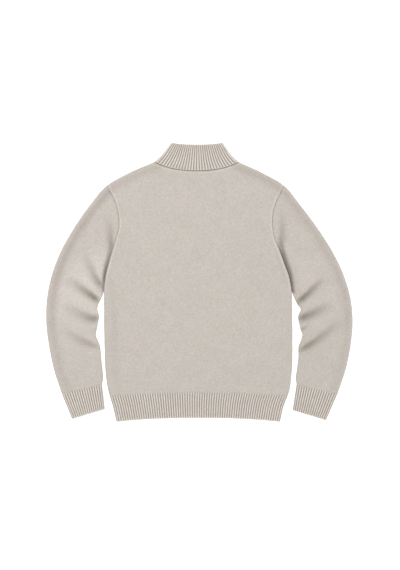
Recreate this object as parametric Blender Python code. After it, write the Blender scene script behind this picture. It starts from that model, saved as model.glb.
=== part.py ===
"""Knit cardigan with a high rib collar, laid flat on its front with its back up.

The frame is in metres, +Z up. The origin is on the surface under the middle of the garment's footprint,
+Y runs from the hem to the collar, and the wearer's left sleeve is on the -X side.

Each piece of knitting starts as its outer surface: grids of points over patches of the plan, with the
height of the upper or the lower layer at each point. A folded edge rounds over from one layer to the
other. Solidify then gives the surface its wall, inwards, so the garment is hollow and open at the neck,
the front, the hem and the cuffs.
"""

from collections import namedtuple

import bmesh
import bpy
import numpy as np

# Driving sizes.
KNIT_WALL = 0.0030
RIB_WALL = 0.0034
SEAM_GAP = 0.0003
RIB_SEAM_GAP = 0.0006  # it narrows to half at the folded edges, where a rib turns inwards
FOLD_SEAM_GAP = 0.0012  # at the outside of a seam that runs along a fold; it narrows inwards
FOLD_RADIUS = 0.0062  # plan width over which a folded edge rounds over
FOLD_HEIGHT = 0.0048  # where the upper and the lower layer meet at a folded edge
BODY_HEIGHT = 0.0094
SLEEVE_HEIGHT = 0.0098
RIB_HEIGHT = 0.0096
EDGE_SWELL = 0.0012  # a folded edge holds its two layers a little apart
EDGE_SWELL_AT = 0.010
EDGE_SWELL_WIDTH = 0.012
BAND_WIDTH = 0.026
BACK_NECK_DROP = 0.0228
FRONT_NECK_DROP = 0.085
FRONT_COLLAR_DIP = 0.067
COLLAR_TOP_DIP = 0.0046
HEM_EDGE_RISE = 0.0104
HEM_SEAM_RISE = 0.0096
ARCH_POWER = 2.4

# A level across the garment, with the x of its left and right edge.
Level = namedtuple("Level", "y left right")

BODY_SIDES = [  # from the hem seam to the underarm
    Level(-0.3073, -0.2425, 0.2381),
    Level(-0.2876, -0.2472, 0.2439),
    Level(-0.2552, -0.2520, 0.2480),
    Level(-0.2066, -0.2553, 0.2508),
    Level(-0.1094, -0.2575, 0.2509),
    Level(-0.0250, -0.2574, 0.2490),
]
ARMHOLE = [  # from the underarm to the shoulder point
    BODY_SIDES[-1],
    Level(0.0135, -0.2557, 0.2419),
    Level(0.0500, -0.2483, 0.2280),
    Level(0.0875, -0.2357, 0.2141),
    Level(0.1200, -0.2251, 0.2020),
    Level(0.1500, -0.2176, 0.1976),
    Level(0.1780, -0.2186, 0.1977),
    Level(0.2060, -0.2244, 0.2040),
    Level(0.2330, -0.2352, 0.2152),
    Level(0.2600, -0.2500, 0.2285),
]
SLEEVE_OUTER = [  # from the cuff seam to the shoulder point
    Level(-0.3021, -0.3712, 0.3724),
    Level(-0.2390, -0.3918, 0.3938),
    Level(-0.1742, -0.4057, 0.4074),
    Level(-0.1094, -0.4134, 0.4134),
    Level(-0.0446, -0.4115, 0.4077),
    Level(0.0202, -0.3981, 0.3887),
    Level(0.0851, -0.3730, 0.3575),
    Level(0.1499, -0.3362, 0.3157),
    Level(0.2147, -0.2903, 0.2668),
    ARMHOLE[-1],
]
SLEEVE_INNER = [  # from the cuff seam to the underarm, wavy where the elbow creases
    Level(-0.2753, -0.2624, 0.2614),
    Level(-0.2552, -0.2599, 0.2598),
    Level(-0.2066, -0.2646, 0.2661),
    Level(-0.1742, -0.2676, 0.2666),
    Level(-0.1580, -0.2733, 0.2730),
    Level(-0.1418, -0.2790, 0.2768),
    Level(-0.1256, -0.2761, 0.2713),
    Level(-0.0932, -0.2707, 0.2657),
    Level(-0.0743, -0.2748, 0.2724),
    Level(-0.0608, -0.2725, 0.2640),
    Level(-0.0446, -0.2650, 0.2560),
    ARMHOLE[0],
]
CUFF_OUTER = [Level(-0.3698, -0.3436, 0.3430), SLEEVE_OUTER[0]]
CUFF_INNER = [Level(-0.3426, -0.2545, 0.2522), SLEEVE_INNER[0]]
HEM_SIDES = [Level(-0.3770, -0.2241, 0.2176), Level(-0.3362, -0.2336, 0.2271), BODY_SIDES[0]]
COLLAR_SIDES = [  # from the shoulder's neck point to the top corner
    Level(0.3236, -0.1218, 0.1061),
    Level(0.3442, -0.1008, 0.0852),
    Level(0.3757, -0.0767, 0.0632),
]
SHOULDER = [ARMHOLE[-1], Level(0.2957, -0.1873, 0.1674), COLLAR_SIDES[0]]
CENTRE_FRONT = -0.0055
CAP_SHARE = 0.5  # where a sleeve's outer edge passes the level of the underarm, as a share of its length

# The elbow's creases: ridges of a sleeve's upper layer that die away from the inner edge outwards.
Ridge = namedtuple("Ridge", "side start_x start_y end_x end_y height width")
SLEEVE_RIDGES = [
    Ridge("left", -0.262, -0.036, -0.330, 0.010, 0.0050, 0.013),
    Ridge("left", -0.270, -0.080, -0.344, -0.036, 0.0054, 0.014),
    Ridge("left", -0.276, -0.132, -0.352, -0.098, 0.0048, 0.015),
    Ridge("left", -0.268, -0.196, -0.356, -0.160, 0.0030, 0.017),
    Ridge("right", 0.254, -0.040, 0.306, 0.012, 0.0048, 0.013),
    Ridge("right", 0.270, -0.076, 0.342, -0.026, 0.0054, 0.014),
    Ridge("right", 0.275, -0.136, 0.360, -0.090, 0.0048, 0.015),
    Ridge("right", 0.266, -0.204, 0.366, -0.160, 0.0030, 0.017),
]
# The knitting also stands up beside the lower part of each armhole seam, where the sleeve is pulled down.
UNDERARM_SWELL = 0.0030
UNDERARM_SWELL_AT = 0.016
UNDERARM_SWELL_WIDTH = 0.012
UNDERARM_SWELL_TOP = 0.110

# Grid steps. Where an edge folds, points lie at these angles of its quarter turn.
FOLD_ANGLES = (0, 8, 45)
CAP_ANGLES = (0, 45)
CURVE_STEPS = 16
SHOULDER_COLUMNS = 2
BACK_NECK_COLUMNS = 5
FRONT_NECK_COLUMNS = 3
SLEEVE_COLUMNS = 4
BODY_SIDE_ROWS = 6
BODY_SIDE_CROWDING = 1.5  # rows lie closer towards the hem seam, where the side turns in
ARMHOLE_ROWS = 7
SLEEVE_ROWS = 15
RIB_ROWS = 3
BAND_COLUMNS = 2
BAND_ROWS = 8
MERGE_DISTANCE = 1e-6

SIDES = ("left", "right")
OUTWARD = {"left": -1, "right": 1}


def side_line(levels, side):
    """The plan points of one side of a list of levels."""
    return np.array([(getattr(level, side), level.y) for level in levels])


def smooth(points):
    """A curve through plan points as CURVE_STEPS short steps for each span. At each point it runs parallel
    to the line between its neighbours, and each span is the cubic with the tangents of its two ends."""
    padded = np.vstack([2 * points[0] - points[1], points, 2 * points[-1] - points[-2]])
    tangents = (padded[2:] - padded[:-2]) / 2
    t = np.linspace(0, 1, CURVE_STEPS, endpoint=False)[:, None]
    spans = [
        (2 * t**3 - 3 * t**2 + 1) * start
        + (t**3 - 2 * t**2 + t) * start_tangent
        + (3 * t**2 - 2 * t**3) * end
        + (t**3 - t**2) * end_tangent
        for start, end, start_tangent, end_tangent in zip(points, points[1:], tangents, tangents[1:])
    ]
    return np.vstack([*spans, points[-1:]])


def lengths_along(line):
    """The distance of each point of a line from its start."""
    steps = np.linalg.norm(np.diff(line, axis=0), axis=1)
    return np.concatenate([[0], np.cumsum(steps)])


def at_shares(line, shares):
    """Points of a line at the given shares of its length."""
    along = lengths_along(line)
    wanted = np.asarray(shares) * along[-1]
    return np.stack([np.interp(wanted, along, line[:, axis]) for axis in range(2)], axis=1)


def straight(start, end, shares):
    return start + np.asarray(shares)[:, None] * (end - start)


def moved_aside(line, distance):
    """A line moved to its left, as seen along it."""
    step = np.gradient(line, axis=0)
    step /= np.linalg.norm(step, axis=1, keepdims=True)
    return line + distance * np.stack([-step[:, 1], step[:, 0]], axis=1)


def split_width(width, steps, angles=FOLD_ANGLES, fold_at_start=True, fold_at_end=True):
    """Shares of a width at which points lie: narrow steps where an edge folds, and even steps between."""
    narrow = (1 - np.cos(np.radians(angles))) * FOLD_RADIUS / width
    low, high = 0.0, 1.0
    start = end = np.zeros(0)
    if fold_at_start:
        start, low = narrow, FOLD_RADIUS / width
    if fold_at_end:
        end, high = 1 - narrow[::-1], 1 - FOLD_RADIUS / width
    return np.concatenate([start, np.linspace(low, high, steps + 1), end])


def chained(parts):
    """Shares of a width that is made of parts, each given as its own width and shares."""
    total = sum(width for width, _ in parts)
    start, shares = 0, []
    for width, own in parts:
        shares.append((start + width * own[:-1]) / total)
        start += width
    return np.concatenate([*shares, [1.0]])


def patch(bottom, top, left, right, across, along):
    """Plan points between four edges, rows from bottom to top and columns from left to right: the ruled
    surface between bottom and top, plus the one between left and right, less the one of the corners."""
    u, v = across[None, :, None], along[:, None, None]
    ruled = (1 - v) * bottom[None] + v * top[None] + (1 - u) * left[:, None] + u * right[:, None]
    corners = (1 - v) * ((1 - u) * bottom[0] + u * bottom[-1]) + v * ((1 - u) * top[0] + u * top[-1])
    return ruled - corners


def distance_to(line, points):
    """The distance of each plan point from a line of short straight steps."""
    step = np.diff(line, axis=0)
    offset = points[..., None, :] - line[:-1]
    share = np.clip((offset * step).sum(-1) / (step**2).sum(-1), 0, 1)
    return np.linalg.norm(offset - share[..., None] * step, axis=-1).min(-1)


def bell(distance, width):
    """A bump of height 1 at distance 0."""
    return np.exp(-((distance / width) ** 2))


def layer_heights(points, folds, height, split=0.0):
    """The outer surface's height on the upper and on the lower layer. Within FOLD_RADIUS of a fold both
    follow a quarter ellipse to FOLD_HEIGHT, where a seam along the fold splits them by a gap."""
    distance = np.min([distance_to(fold, points) for fold in folds], axis=0)
    rounded = np.sqrt(1 - (1 - np.clip(distance / FOLD_RADIUS, 0, 1)) ** 2)
    crown = height + EDGE_SWELL * bell(distance - EDGE_SWELL_AT, EDGE_SWELL_WIDTH)
    upper_start, lower_start = FOLD_HEIGHT + split / 2, FOLD_HEIGHT - split / 2
    return upper_start + (crown - upper_start) * rounded, lower_start * (1 - rounded)


def armhole(side):
    return smooth(side_line(ARMHOLE, side))


def top_fold(side):
    """The folded edge from the cuff seam over the shoulder point to the neck, as its sleeve and its
    shoulder part, which share one smooth curve."""
    curve = smooth(side_line(SLEEVE_OUTER + SHOULDER[1:], side))
    shoulder_point = (len(SLEEVE_OUTER) - 1) * CURVE_STEPS
    return curve[: shoulder_point + 1], curve[shoulder_point:]


def underarm_swell(points):
    """Extra height beside the lower part of both armhole seams."""
    low, high = ARMHOLE[0].y, UNDERARM_SWELL_TOP
    fade = np.clip((high - points[..., 1]) / (high - low), 0, 1)
    distance = np.min([distance_to(armhole(side), points) for side in SIDES], axis=0)
    return UNDERARM_SWELL * fade * bell(distance - UNDERARM_SWELL_AT, UNDERARM_SWELL_WIDTH)


def ridge_height(points, side):
    """Extra height of one elbow's creases: each is a bell across its line and a quarter cosine along it."""
    total = np.zeros(points.shape[:-1])
    for ridge in (r for r in SLEEVE_RIDGES if r.side == side):
        start = np.array([ridge.start_x, ridge.start_y])
        run = np.array([ridge.end_x, ridge.end_y]) - start
        share = np.clip(((points - start) @ run) / (run @ run), 0, 1)
        away = np.linalg.norm(points - start - share[..., None] * run, axis=-1)
        total += ridge.height * np.cos(share * np.pi / 2) * bell(away, ridge.width)
    return total


def arch(x, level, rise):
    """The y of an edge that lies at a level at its two ends and rises by rise in its middle."""
    middle, half = (level.left + level.right) / 2, (level.right - level.left) / 2
    return level.y + rise * (1 - np.minimum(np.abs((x - middle) / half), 1) ** ARCH_POWER)


def hem_edge(x):
    return arch(x, HEM_SIDES[0], HEM_EDGE_RISE)


def hem_seam(x):
    return arch(x, BODY_SIDES[0], HEM_SEAM_RISE)


def back_neck(x):
    return arch(x, COLLAR_SIDES[0], -BACK_NECK_DROP)


def front_neck(x):
    return arch(x, COLLAR_SIDES[0], -FRONT_NECK_DROP)


def back_collar_top(x):
    return arch(x, COLLAR_SIDES[-1], -COLLAR_TOP_DIP)


def front_collar_top(x):
    return arch(x, COLLAR_SIDES[-1], -FRONT_COLLAR_DIP)


def body_top(x, neckline):
    """The y of the body's upper edge: a neckline between the two shoulder folds."""
    left, right = (top_fold(side)[1][:: -OUTWARD[side]].T for side in SIDES)
    beside = np.where(x < 0, np.interp(x, *left), np.interp(x, *right))
    in_neck = (x > COLLAR_SIDES[0].left) & (x < COLLAR_SIDES[0].right)
    return np.where(in_neck, neckline(x), beside)


def back_top(x):
    return body_top(x, back_neck)


def front_top(x):
    return body_top(x, front_neck)


def from_centre_front(side, distance):
    """The x at a distance from the centre front."""
    return CENTRE_FRONT + OUTWARD[side] * distance


def edge_points(x_start, x_end, shares, edge):
    """Points along an edge whose y is a function of x."""
    x = x_start + shares * (x_end - x_start)
    return np.stack([x, edge(x)], axis=1)


def back_shares(with_shoulders):
    """The columns over the back, or over its neckline only, as shares of the width."""
    neck = COLLAR_SIDES[0]
    neck_width = neck.right - neck.left
    columns = [(neck_width, split_width(neck_width, BACK_NECK_COLUMNS))]
    if with_shoulders:
        left, right = neck.left - ARMHOLE[-1].left, ARMHOLE[-1].right - neck.right
        columns.insert(0, (left, split_width(left, SHOULDER_COLUMNS, fold_at_end=False)))
        columns.append((right, split_width(right, SHOULDER_COLUMNS, fold_at_start=False)))
    return chained(columns)


def front_shares(side, with_shoulders):
    """The columns from a side fold to the front band, or from the neck point only."""
    neck, shoulder = (getattr(level, side) for level in (COLLAR_SIDES[0], ARMHOLE[-1]))
    neck_width = abs(neck - from_centre_front(side, BAND_WIDTH + SEAM_GAP))
    columns = [(neck_width, split_width(neck_width, FRONT_NECK_COLUMNS, fold_at_end=False))]
    if with_shoulders:
        width = abs(shoulder - neck)
        columns.insert(0, (width, split_width(width, SHOULDER_COLUMNS, fold_at_end=False)))
    return chained(columns)


def back_patch(left, right, along, bottom, top, with_shoulders):
    """A patch over the whole width, between two folded edges and two edges that are functions of x."""
    across = back_shares(with_shoulders)
    low = edge_points(left[0, 0], right[0, 0], across, bottom)
    high = edge_points(left[-1, 0], right[-1, 0], across, top)
    return patch(low, high, left, right, across, along)


def front_patch(side, fold, along, bottom, top, with_shoulders):
    """A patch from one folded edge to the front band, as columns that run towards -X."""
    across = front_shares(side, with_shoulders)
    opening = from_centre_front(side, BAND_WIDTH + SEAM_GAP)
    low = edge_points(fold[0, 0], opening, across, bottom)
    high = edge_points(fold[-1, 0], opening, across, top)
    points = patch(low, high, fold, straight(low[-1], high[-1], along), across, along)
    return points if side == "right" else points[:, ::-1]


def raised(points, height):
    """Plan points and their heights as points in space."""
    return np.concatenate([points, height[..., None]], axis=-1)


def tube_grids(points, folds, height):
    """The two layers of a tube: the upper one, and the lower one with its columns turned round."""
    upper, lower = layer_heights(points, folds, height)
    return [raised(points, upper), raised(points, lower)[:, ::-1]]


def material(name, colour, roughness):
    """Knitted wool: no metal, and rough all over."""
    made = bpy.data.materials.new(name)
    made.use_nodes = True
    shader = made.node_tree.nodes["Principled BSDF"]
    shader.inputs["Base Color"].default_value = (*colour, 1.0)
    shader.inputs["Roughness"].default_value = roughness
    shader.inputs["Metallic"].default_value = 0.0
    return made


def knitted(name, grids, wall, finish):
    """One piece of knitting: the faces of its grids, joined where they share a fold, with a wall inside
    them. Seen from outside, a grid's rows run up and its columns run to the right."""
    shape = bmesh.new()
    for grid in grids:
        rows, columns = grid.shape[:2]
        made = [shape.verts.new(point) for point in grid.reshape(-1, 3).tolist()]
        for row in range(rows - 1):
            for column in range(columns - 1):
                first = row * columns + column
                corners = (first, first + 1, first + columns + 1, first + columns)
                shape.faces.new([made[corner] for corner in corners])
    bmesh.ops.remove_doubles(shape, verts=shape.verts, dist=MERGE_DISTANCE)
    mesh = bpy.data.meshes.new(name)
    shape.to_mesh(mesh)
    shape.free()
    mesh.shade_smooth()
    mesh.materials.append(finish)
    piece = bpy.data.objects.new(name, mesh)
    bpy.context.scene.collection.objects.link(piece)
    solidify = piece.modifiers.new("Wall", "SOLIDIFY")
    solidify.thickness = wall
    solidify.offset = -1
    return piece


def body_edge(side):
    """One edge of the body's panels: up the side fold to the underarm, and up the armhole seam."""
    rows = np.linspace(0, 1, BODY_SIDE_ROWS + 1) ** BODY_SIDE_CROWDING
    below = at_shares(smooth(side_line(BODY_SIDES, side)), rows)
    seam = armhole(side)
    above = at_shares(seam, split_width(lengths_along(seam)[-1], ARMHOLE_ROWS))
    return np.vstack([below, above[1:]])


def body_heights(points):
    """The upper and the lower layer of the body, which meet at the side and the shoulder seams."""
    folds = [fold for side in SIDES for fold in (smooth(side_line(BODY_SIDES, side)), top_fold(side)[1])]
    return layer_heights(points, folds, BODY_HEIGHT + underarm_swell(points), FOLD_SEAM_GAP)


def make_back(finish):
    """The back panel: the whole upper layer between the hem seam and the neckline."""
    left, right = body_edge("left"), body_edge("right")
    along = lengths_along(left) / lengths_along(left)[-1]
    points = back_patch(left, right, along, hem_seam, back_top, with_shoulders=True)
    upper, _ = body_heights(points)
    return knitted("back", [raised(points, upper)], KNIT_WALL, finish)


def make_front(side, finish):
    """One front panel: the lower layer between a side fold and the front band."""
    edge = body_edge(side)
    along = lengths_along(edge) / lengths_along(edge)[-1]
    points = front_patch(side, edge, along, hem_seam, front_top, with_shoulders=True)
    _, lower = body_heights(points)
    return knitted(f"front_{side}", [raised(points, lower)], KNIT_WALL, finish)


def make_sleeve(side, finish):
    """A sleeve: a tube whose rows run from its outer fold to its inner fold and, above the underarm, to the
    armhole seam, so that they shrink to a point at the shoulder."""
    seam = moved_aside(armhole(side), -OUTWARD[side] * SEAM_GAP)
    outer, inner = top_fold(side)[0], smooth(side_line(SLEEVE_INNER, side))
    outer[-1], inner[-1] = seam[-1], seam[0]
    arm = np.linspace(0, 1, SLEEVE_ROWS + 1)
    cap = split_width(lengths_along(seam)[-1], ARMHOLE_ROWS, CAP_ANGLES)[1:]
    far = at_shares(outer, np.concatenate([CAP_SHARE * arm, CAP_SHARE + (1 - CAP_SHARE) * cap]))
    near = np.vstack([at_shares(inner, arm), at_shares(seam, cap)])
    across = split_width(np.linalg.norm(far[0] - near[0]), SLEEVE_COLUMNS)
    rows = [straight(start, end, across) for start, end in zip(far, near)]
    points = np.stack(rows if side == "left" else [row[::-1] for row in rows])
    height = SLEEVE_HEIGHT + underarm_swell(points) + ridge_height(points, side)
    return knitted(f"sleeve_{side}", tube_grids(points, [outer, inner], height), KNIT_WALL, finish)


def make_cuff(side, finish):
    """A cuff: a rib tube on the end of a sleeve."""
    lines = [side_line(levels, side) for levels in (CUFF_OUTER, CUFF_INNER)]
    seam = moved_aside(np.array([line[-1] for line in lines]), OUTWARD[side] * RIB_SEAM_GAP)
    along = np.linspace(0, 1, RIB_ROWS + 1)
    edges = [straight(line[0], top, along) for line, top in zip(lines, seam)]
    left, right = edges if side == "left" else edges[::-1]
    across = split_width(np.linalg.norm(right[0] - left[0]), SLEEVE_COLUMNS)
    points = np.stack([straight(start, end, across) for start, end in zip(left, right)])
    return knitted(f"cuff_{side}", tube_grids(points, [left, right], RIB_HEIGHT), RIB_WALL, finish)


def make_open_rib(name, sides, back_edges, front_edges, with_shoulders, finish):
    """A rib that runs round from one front band to the other. Each pair of edges is a lower and an upper
    one, as functions of x."""
    along = np.linspace(0, 1, RIB_ROWS + 1)
    left, right = (at_shares(smooth(side_line(sides, side)), along) for side in SIDES)
    back = back_patch(left, right, along, *back_edges, with_shoulders)
    grids = [raised(back, layer_heights(back, [left, right], RIB_HEIGHT)[0])]
    for side, fold in zip(SIDES, (left, right)):
        front = front_patch(side, fold, along, *front_edges, with_shoulders)
        grids.append(raised(front, layer_heights(front, [left, right], RIB_HEIGHT)[1]))
    return knitted(name, grids, RIB_WALL, finish)


def make_hem_rib(finish):
    """The rib round the lower edge, just below the hem seam."""
    low, middle, seam = HEM_SIDES
    sides = [low, middle, seam._replace(y=seam.y - RIB_SEAM_GAP)]
    edges = hem_edge, lambda x: hem_seam(x) - RIB_SEAM_GAP
    return make_open_rib("hem_rib", sides, edges, edges, True, finish)


def make_collar(finish):
    """The collar, just above the neckline: its back half lies over its two front halves."""
    seam, middle, top = COLLAR_SIDES
    sides = [seam._replace(y=seam.y + RIB_SEAM_GAP), middle, top]
    back_edges = lambda x: back_neck(x) + RIB_SEAM_GAP, back_collar_top
    front_edges = lambda x: front_neck(x) + RIB_SEAM_GAP, front_collar_top
    return make_open_rib("collar", sides, back_edges, front_edges, False, finish)


def make_front_band(side, finish):
    """A flat rib band that finishes one front edge, from the hem to the top of the collar."""
    across = np.linspace(0, 1, BAND_COLUMNS + 1)
    along = np.linspace(0, 1, BAND_ROWS + 1)
    near, far = (from_centre_front(side, distance) for distance in (SEAM_GAP / 2, BAND_WIDTH))
    low, high = (edge_points(near, far, across, edge) for edge in (hem_edge, front_collar_top))
    left, right = (straight(low[column], high[column], along) for column in (0, -1))
    points = patch(low, high, left, right, across, along)
    points = points if side == "left" else points[:, ::-1]
    return knitted(f"front_band_{side}", [raised(points, np.zeros(points.shape[:2]))], RIB_WALL, finish)


def main():
    for existing in list(bpy.data.objects):
        bpy.data.objects.remove(existing)
    knit = material("plain wool knit", (0.585, 0.540, 0.485), 0.92)
    rib = material("wool rib", (0.560, 0.515, 0.460), 0.94)
    make_back(knit)
    make_hem_rib(rib)
    make_collar(rib)
    for side in SIDES:
        make_front(side, knit)
        make_sleeve(side, knit)
        make_cuff(side, rib)
        make_front_band(side, rib)


main()
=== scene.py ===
"""A knit cardigan with a high rib collar, laid flat on its front with its back up, on a studio floor.

The frame is in metres, +Z up: +Y runs from the hem to the collar, and the wearer's left sleeve is on the
-X side. Each piece of knitting is a grid of points over a patch of the plan, raised to the height of the
upper or the lower layer, with an inner side a wall's thickness below it and rounded edges between the two.
"""

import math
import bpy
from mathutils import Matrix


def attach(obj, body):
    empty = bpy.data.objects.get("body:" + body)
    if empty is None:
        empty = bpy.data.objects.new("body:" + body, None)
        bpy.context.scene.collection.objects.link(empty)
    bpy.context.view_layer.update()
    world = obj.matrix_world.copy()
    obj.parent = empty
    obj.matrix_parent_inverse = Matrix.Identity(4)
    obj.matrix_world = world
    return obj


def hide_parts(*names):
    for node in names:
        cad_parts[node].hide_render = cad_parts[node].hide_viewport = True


bl_info = {
    "name": "Knit Cardigan",
    "version": (1, 0, 0),
    "blender": (4, 5, 0),
    "location": "View3D > Sidebar > Cardigan",
    "description": "Models a knit cardigan with rib trims that lies flat with its back up",
    "category": "Add Mesh",
}

from collections import namedtuple

import bpy
import numpy as np

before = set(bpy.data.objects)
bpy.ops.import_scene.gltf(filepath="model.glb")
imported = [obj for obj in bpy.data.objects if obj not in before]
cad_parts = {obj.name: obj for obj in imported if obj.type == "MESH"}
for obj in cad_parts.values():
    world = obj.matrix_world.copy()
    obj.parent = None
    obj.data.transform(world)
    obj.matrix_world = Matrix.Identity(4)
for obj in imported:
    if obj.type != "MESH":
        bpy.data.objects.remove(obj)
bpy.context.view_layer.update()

SIDES = ("left", "right")
OUTWARD = {"left": -1, "right": 1}

# The cut, in metres, as it lies: a level across the garment, with the x of its left and right edge.
Level = namedtuple("Level", "y left right")


def as_levels(*rows):
    """A list of levels from rows of their three numbers."""
    return [Level(*row) for row in rows]


BODY_SIDES = as_levels(  # from the hem seam to the underarm
    (-0.3073, -0.2425, 0.2381), (-0.2876, -0.2472, 0.2439), (-0.2552, -0.2520, 0.2480),
    (-0.2066, -0.2553, 0.2508), (-0.1094, -0.2575, 0.2509), (-0.0250, -0.2574, 0.2490),
)
ARMHOLE = as_levels(  # from the underarm to the shoulder point
    BODY_SIDES[-1], (0.0135, -0.2532, 0.2419), (0.0500, -0.2446, 0.2288), (0.0875, -0.2338, 0.2152),
    (0.1200, -0.2247, 0.2026), (0.1500, -0.2176, 0.1976), (0.1780, -0.2186, 0.1977),
    (0.2060, -0.2244, 0.2040), (0.2330, -0.2352, 0.2152), (0.2600, -0.2500, 0.2285),
)
SLEEVE_OUTER = as_levels(  # from the cuff seam to the shoulder point
    (-0.3021, -0.3712, 0.3724), (-0.2390, -0.3918, 0.3938), (-0.1742, -0.4057, 0.4074),
    (-0.1094, -0.4134, 0.4134), (-0.0446, -0.4115, 0.4077), (0.0202, -0.3981, 0.3887),
    (0.0851, -0.3730, 0.3575), (0.1499, -0.3362, 0.3157), (0.2147, -0.2903, 0.2668), ARMHOLE[-1],
)
SLEEVE_INNER = as_levels(  # from the cuff seam to the underarm, wavy where the elbow creases
    (-0.2753, -0.2624, 0.2614), (-0.2552, -0.2599, 0.2598), (-0.2066, -0.2646, 0.2661),
    (-0.1742, -0.2676, 0.2666), (-0.1580, -0.2733, 0.2730), (-0.1418, -0.2790, 0.2768),
    (-0.1256, -0.2761, 0.2713), (-0.0932, -0.2707, 0.2657), (-0.0743, -0.2748, 0.2724),
    (-0.0608, -0.2725, 0.2640), (-0.0446, -0.2650, 0.2560), ARMHOLE[0],
)
CUFF_ENDS = {  # the outer and the inner corner of each cuff's free edge
    "left": ((-0.3436, -0.3698), (-0.2545, -0.3426)),
    "right": ((0.3415, -0.3732), (0.2506, -0.3455)),
}
HEM_SIDES = as_levels((-0.3770, -0.2241, 0.2176), (-0.3362, -0.2336, 0.2271), BODY_SIDES[0])
COLLAR_SIDES = as_levels(  # from the shoulder's neck point to the top corner
    (0.3236, -0.1218, 0.1061), (0.3442, -0.1008, 0.0852), (0.3757, -0.0767, 0.0632)
)
SHOULDER = as_levels(ARMHOLE[-1], (0.2957, -0.1873, 0.1674), COLLAR_SIDES[0])
CENTRE_FRONT = -0.0055
BAND_WIDTH = 0.026
CAP_SHARE = 0.5  # where a sleeve's outer edge passes the level of the underarm, as a share of its length
CAP_TRIM = 0.0016  # how far below the shoulder point a sleeve ends
CAP_BLEND = 0.006  # how far above the underarm a sleeve's edge begins to be inset in full

# The width and length that each piece was cut to, all round on a tube.
CUTS = {
    "back": (0.512, 0.634),
    "front": (0.240, 0.634),
    "sleeve": (0.420, 0.690),
    "cuff": (0.240, 0.072),
    "hem_rib": (0.960, 0.080),
    "collar": (0.430, 0.110),
    "front_band": (0.026, 0.684),
}

# How the two layers lie on each other.
FOLD_RADIUS = 0.0062  # plan width over which a folded edge rounds over
FOLD_HEIGHT = 0.0048  # where the upper and the lower layer meet at a folded edge
BODY_HEIGHT = 0.0094
SLEEVE_HEIGHT = 0.0098
RIB_HEIGHT = 0.0096
SEAM_GAP = 0.00008
RIB_SEAM_GAP = 0.00010
SEAM_RIM = 0.00012  # how far a sewn edge's rounding stands out, where a free edge has a half circle
FOLD_TRIM = 0.00001  # a panel's edge at a folded seam starts this far inside the fold
LAYER_GAP = 0.0004  # the least room between a sleeve's layers
THINNEST = 0.0010  # the least wall, where a sleeve's layers are pressed together
NARROW, THINNED = 0.030, 0.2  # where a sleeve is narrower, its wall thins with it, to this share at most

# Grid steps, in metres of cloth.
EDGE_STEP = 0.0006
STEP_GROWTH = 0.24
RIB_STEP = 0.004  # along the ribs
BAND_STEP = 0.005
FINE_POINTS = 4001  # by which a length of cloth is measured
CURVE_STEPS = 16  # to a span of a smooth line
RIM_ANGLES = np.radians((30, 60, 90, 120, 150))


# --- Lines and patches of the plan ---


def side_line(levels, side):
    """The plan points of one side of a list of levels."""
    return np.array([(getattr(level, side), level.y) for level in levels])


def smooth(points):
    """A curve through plan points: each span is the cubic whose tangent at a point is half the step
    between that point's two neighbours."""
    padded = np.vstack([2 * points[0] - points[1], points, 2 * points[-1] - points[-2]])
    tangents = (padded[2:] - padded[:-2]) / 2
    t = np.linspace(0, 1, CURVE_STEPS, endpoint=False)[:, None]
    spans = [
        (2 * t**3 - 3 * t**2 + 1) * start
        + (t**3 - 2 * t**2 + t) * start_tangent
        + (3 * t**2 - 2 * t**3) * end
        + (t**3 - t**2) * end_tangent
        for start, end, start_tangent, end_tangent in zip(points, points[1:], tangents, tangents[1:])
    ]
    return np.vstack([*spans, points[-1:]])


def curve(levels, side):
    """The smooth line through one side of a list of levels."""
    return smooth(side_line(levels, side))


def lengths_along(line):
    """The distance of each point of a line from its start."""
    return np.concatenate([[0], np.cumsum(np.linalg.norm(np.diff(line, axis=0), axis=1))])


def at_shares(line, shares):
    """Points of a line at the given shares of its length."""
    along = lengths_along(line)
    wanted = np.asarray(shares) * along[-1]
    return np.stack([np.interp(wanted, along, line[:, axis]) for axis in range(2)], axis=1)


def straight(start, end, shares):
    """Points on the straight line from start to end."""
    return start + np.asarray(shares)[:, None] * (end - start)


def unit(vectors):
    """Vectors divided by their lengths."""
    return vectors / np.maximum(np.linalg.norm(vectors, axis=-1, keepdims=True), 1e-12)


def moved_aside(line, distance):
    """A line moved to its left, as seen along it, by a distance or by one for each point."""
    step = unit(np.gradient(line, axis=0))
    return line + np.reshape(distance, (-1, 1)) * np.stack([-step[:, 1], step[:, 0]], axis=1)


def nearest_on(line, points):
    """For each plan point: its distance from a line of straight steps, how far along the line its nearest
    place is, as a share of the steps, and how far left of that step it lies, times the step's length."""
    distance, share, left = (np.full(points.shape[:-1], value) for value in (np.inf, 0.0, 0.0))
    for number, (start, step) in enumerate(zip(line, np.diff(line, axis=0))):
        offset = points - start
        part = np.clip(offset @ step / (step @ step), 0, 1)
        away = np.linalg.norm(offset - part[..., None] * step, axis=-1)
        closer = away < distance
        distance = np.where(closer, away, distance)
        share = np.where(closer, (number + part) / (len(line) - 1), share)
        left = np.where(closer, step[0] * offset[..., 1] - step[1] * offset[..., 0], left)
    return distance, share, left


def distance_to(line, points):
    """The distance of each plan point from a line."""
    return nearest_on(line, points)[0]


def patch(bottom, top, left, right, across, along):
    """Plan points between four edges, rows from bottom to top and columns from left to right: the ruled
    surface between bottom and top, plus the one between left and right, less the one of the corners."""
    u, v = across[None, :, None], along[:, None, None]
    ruled = (1 - v) * bottom[None] + v * top[None] + (1 - u) * left[:, None] + u * right[:, None]
    corners = (1 - v) * ((1 - u) * bottom[0] + u * bottom[-1]) + v * ((1 - u) * top[0] + u * top[-1])
    return ruled - corners


def fold_rise(distance):
    """How far a folded edge has rounded over at a distance from the fold, from 0 to 1: a quarter ellipse."""
    return np.sqrt(1 - (1 - np.clip(distance / FOLD_RADIUS, 0, 1)) ** 2)


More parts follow.
